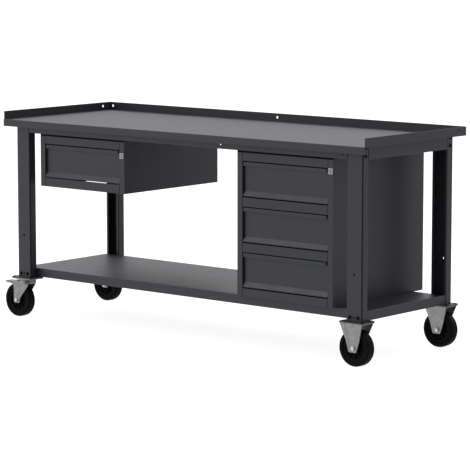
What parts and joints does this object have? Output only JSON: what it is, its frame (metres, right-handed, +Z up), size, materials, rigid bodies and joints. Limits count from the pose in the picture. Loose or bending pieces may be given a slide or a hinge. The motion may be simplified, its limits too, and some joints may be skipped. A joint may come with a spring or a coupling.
{
  "type": "workbench with drawers",
  "caption": "Mobile sheet-steel workbench with a rimmed worktop, lower shelf, lockable drawers on telescopic runners and casters at every corner.",
  "frame": {"origin": "on the floor under the centre of the whole bounding box, which the brake pedals widen by 50 mm beyond the left end of the worktop", "axes": "+X along the bench to the right as seen from the drawer side, +Y to the back, so the drawers face -Y, +Z up"},
  "size_m": [2.05, 0.69, 0.92],
  "materials": {
    "painted_steel": "fine textured satin powder coat",
    "zinc_steel": "bright zinc plate",
    "lock_chrome": "satin nickel",
    "tyre_rubber": "matte",
    "wheel_plastic": "moulded"
  },
  "bodies": {
    "bench": {"worktop": "painted_steel", "leg_front_left": "painted_steel", "leg_rear_left": "painted_steel", "leg_front_right": "painted_steel", "leg_rear_right": "painted_steel", "rail_front": "painted_steel", "rail_rear": "painted_steel", "rail_left": "painted_steel", "rail_right": "painted_steel", "shelf": "painted_steel", "cabinet_shell": "painted_steel", "single_shell": "painted_steel", "runner_fixed_single_left": "zinc_steel", "runner_fixed_single_right": "zinc_steel", "runner_fixed_upper_left": "zinc_steel", "runner_fixed_upper_right": "zinc_steel", "runner_fixed_middle_left": "zinc_steel", "runner_fixed_middle_right": "zinc_steel", "runner_fixed_lower_left": "zinc_steel", "runner_fixed_lower_right": "zinc_steel", "lock_case_single": "lock_chrome", "lock_case_cabinet": "lock_chrome", "caster_plate_front_left": "zinc_steel", "caster_fork_front_right": "zinc_steel", "wheel_axle_front_right": "zinc_steel", "caster_plate_rear_left": "zinc_steel", "caster_fork_rear_right": "zinc_steel", "wheel_axle_rear_right": "zinc_steel"},
    "drawer_single": {"drawer_front_single": "painted_steel", "drawer_box_single": "painted_steel"},
    "runners_single": {"runner_middle_single_left": "zinc_steel", "runner_middle_single_right": "zinc_steel"},
    "drawer_upper": {"drawer_front_upper": "painted_steel", "drawer_box_upper": "painted_steel"},
    "runners_upper": {"runner_middle_upper_left": "zinc_steel", "runner_middle_upper_right": "zinc_steel"},
    "drawer_middle": {"drawer_front_middle": "painted_steel", "drawer_box_middle": "painted_steel"},
    "runners_middle": {"runner_middle_middle_left": "zinc_steel", "runner_middle_middle_right": "zinc_steel"},
    "drawer_lower": {"drawer_front_lower": "painted_steel", "drawer_box_lower": "painted_steel"},
    "runners_lower": {"runner_middle_lower_left": "zinc_steel", "runner_middle_lower_right": "zinc_steel"},
    "lock_single": {"lock_plug_single": "lock_chrome"},
    "lock_cabinet": {"lock_plug_cabinet": "lock_chrome"},
    "swivel_front_left": {"caster_fork_front_left": "zinc_steel", "wheel_axle_front_left": "zinc_steel"},
    "pedal_front_left": {"brake_pedal_front_left": "zinc_steel"},
    "wheel_front_left": {"wheel_tyre_front_left": "tyre_rubber", "wheel_centre_front_left": "wheel_plastic"},
    "wheel_front_right": {"wheel_tyre_front_right": "tyre_rubber", "wheel_centre_front_right": "wheel_plastic"},
    "swivel_rear_left": {"caster_fork_rear_left": "zinc_steel", "wheel_axle_rear_left": "zinc_steel"},
    "pedal_rear_left": {"brake_pedal_rear_left": "zinc_steel"},
    "wheel_rear_left": {"wheel_tyre_rear_left": "tyre_rubber", "wheel_centre_rear_left": "wheel_plastic"},
    "wheel_rear_right": {"wheel_tyre_rear_right": "tyre_rubber", "wheel_centre_rear_right": "wheel_plastic"}
  },
  "joints": [
    {"name": "drawer_single_slide", "type": "slide", "parent": "bench", "child": "drawer_single", "axis": [0, -1, 0], "range_m": [0, 0.48]},
    {"name": "runners_single_slide", "type": "slide", "parent": "bench", "child": "runners_single", "axis": [0, -1, 0], "range_m": [0, 0.24]},
    {"name": "drawer_upper_slide", "type": "slide", "parent": "bench", "child": "drawer_upper", "axis": [0, -1, 0], "range_m": [0, 0.48]},
    {"name": "runners_upper_slide", "type": "slide", "parent": "bench", "child": "runners_upper", "axis": [0, -1, 0], "range_m": [0, 0.24]},
    {"name": "drawer_middle_slide", "type": "slide", "parent": "bench", "child": "drawer_middle", "axis": [0, -1, 0], "range_m": [0, 0.48]},
    {"name": "runners_middle_slide", "type": "slide", "parent": "bench", "child": "runners_middle", "axis": [0, -1, 0], "range_m": [0, 0.24]},
    {"name": "drawer_lower_slide", "type": "slide", "parent": "bench", "child": "drawer_lower", "axis": [0, -1, 0], "range_m": [0, 0.48]},
    {"name": "runners_lower_slide", "type": "slide", "parent": "bench", "child": "runners_lower", "axis": [0, -1, 0], "range_m": [0, 0.24]},
    {"name": "lock_single_turn", "type": "hinge", "parent": "bench", "child": "lock_single", "pos_m": [-0.3185, -0.2893, 0.7589], "axis": [0, 1, 0], "range_deg": [0, 90]},
    {"name": "lock_cabinet_turn", "type": "hinge", "parent": "bench", "child": "lock_cabinet", "pos_m": [0.8125, -0.2893, 0.7719], "axis": [0, 1, 0], "range_deg": [0, 90]},
    {"name": "swivel_front_left_turn", "type": "hinge", "parent": "bench", "child": "swivel_front_left", "pos_m": [-0.896, -0.284, 0.17], "axis": [0, 0, 1], "continuous": true},
    {"name": "pedal_front_left_lift", "type": "hinge", "parent": "swivel_front_left", "child": "pedal_front_left", "pos_m": [-0.976, -0.284, 0.153], "axis": [0, 1, 0], "range_deg": [0, 20]},
    {"name": "wheel_front_left_spin", "type": "hinge", "parent": "swivel_front_left", "child": "wheel_front_left", "pos_m": [-0.944, -0.284, 0.075], "axis": [0, 1, 0], "continuous": true},
    {"name": "wheel_front_right_spin", "type": "hinge", "parent": "bench", "child": "wheel_front_right", "pos_m": [0.946, -0.284, 0.075], "axis": [0, 1, 0], "continuous": true},
    {"name": "swivel_rear_left_turn", "type": "hinge", "parent": "bench", "child": "swivel_rear_left", "pos_m": [-0.896, 0.29, 0.17], "axis": [0, 0, 1], "continuous": true},
    {"name": "pedal_rear_left_lift", "type": "hinge", "parent": "swivel_rear_left", "child": "pedal_rear_left", "pos_m": [-0.976, 0.29, 0.153], "axis": [0, 1, 0], "range_deg": [0, 20]},
    {"name": "wheel_rear_left_spin", "type": "hinge", "parent": "swivel_rear_left", "child": "wheel_rear_left", "pos_m": [-0.944, 0.29, 0.075], "axis": [0, 1, 0], "continuous": true},
    {"name": "wheel_rear_right_spin", "type": "hinge", "parent": "bench", "child": "wheel_rear_right", "pos_m": [0.946, 0.29, 0.075], "axis": [0, 1, 0], "continuous": true}
  ],
  "couplings": [
    {"joint": "runners_single_slide", "follows": "drawer_single_slide", "ratio": 0.5},
    {"joint": "runners_upper_slide", "follows": "drawer_upper_slide", "ratio": 0.5},
    {"joint": "runners_middle_slide", "follows": "drawer_middle_slide", "ratio": 0.5},
    {"joint": "runners_lower_slide", "follows": "drawer_lower_slide", "ratio": 0.5}
  ]
}
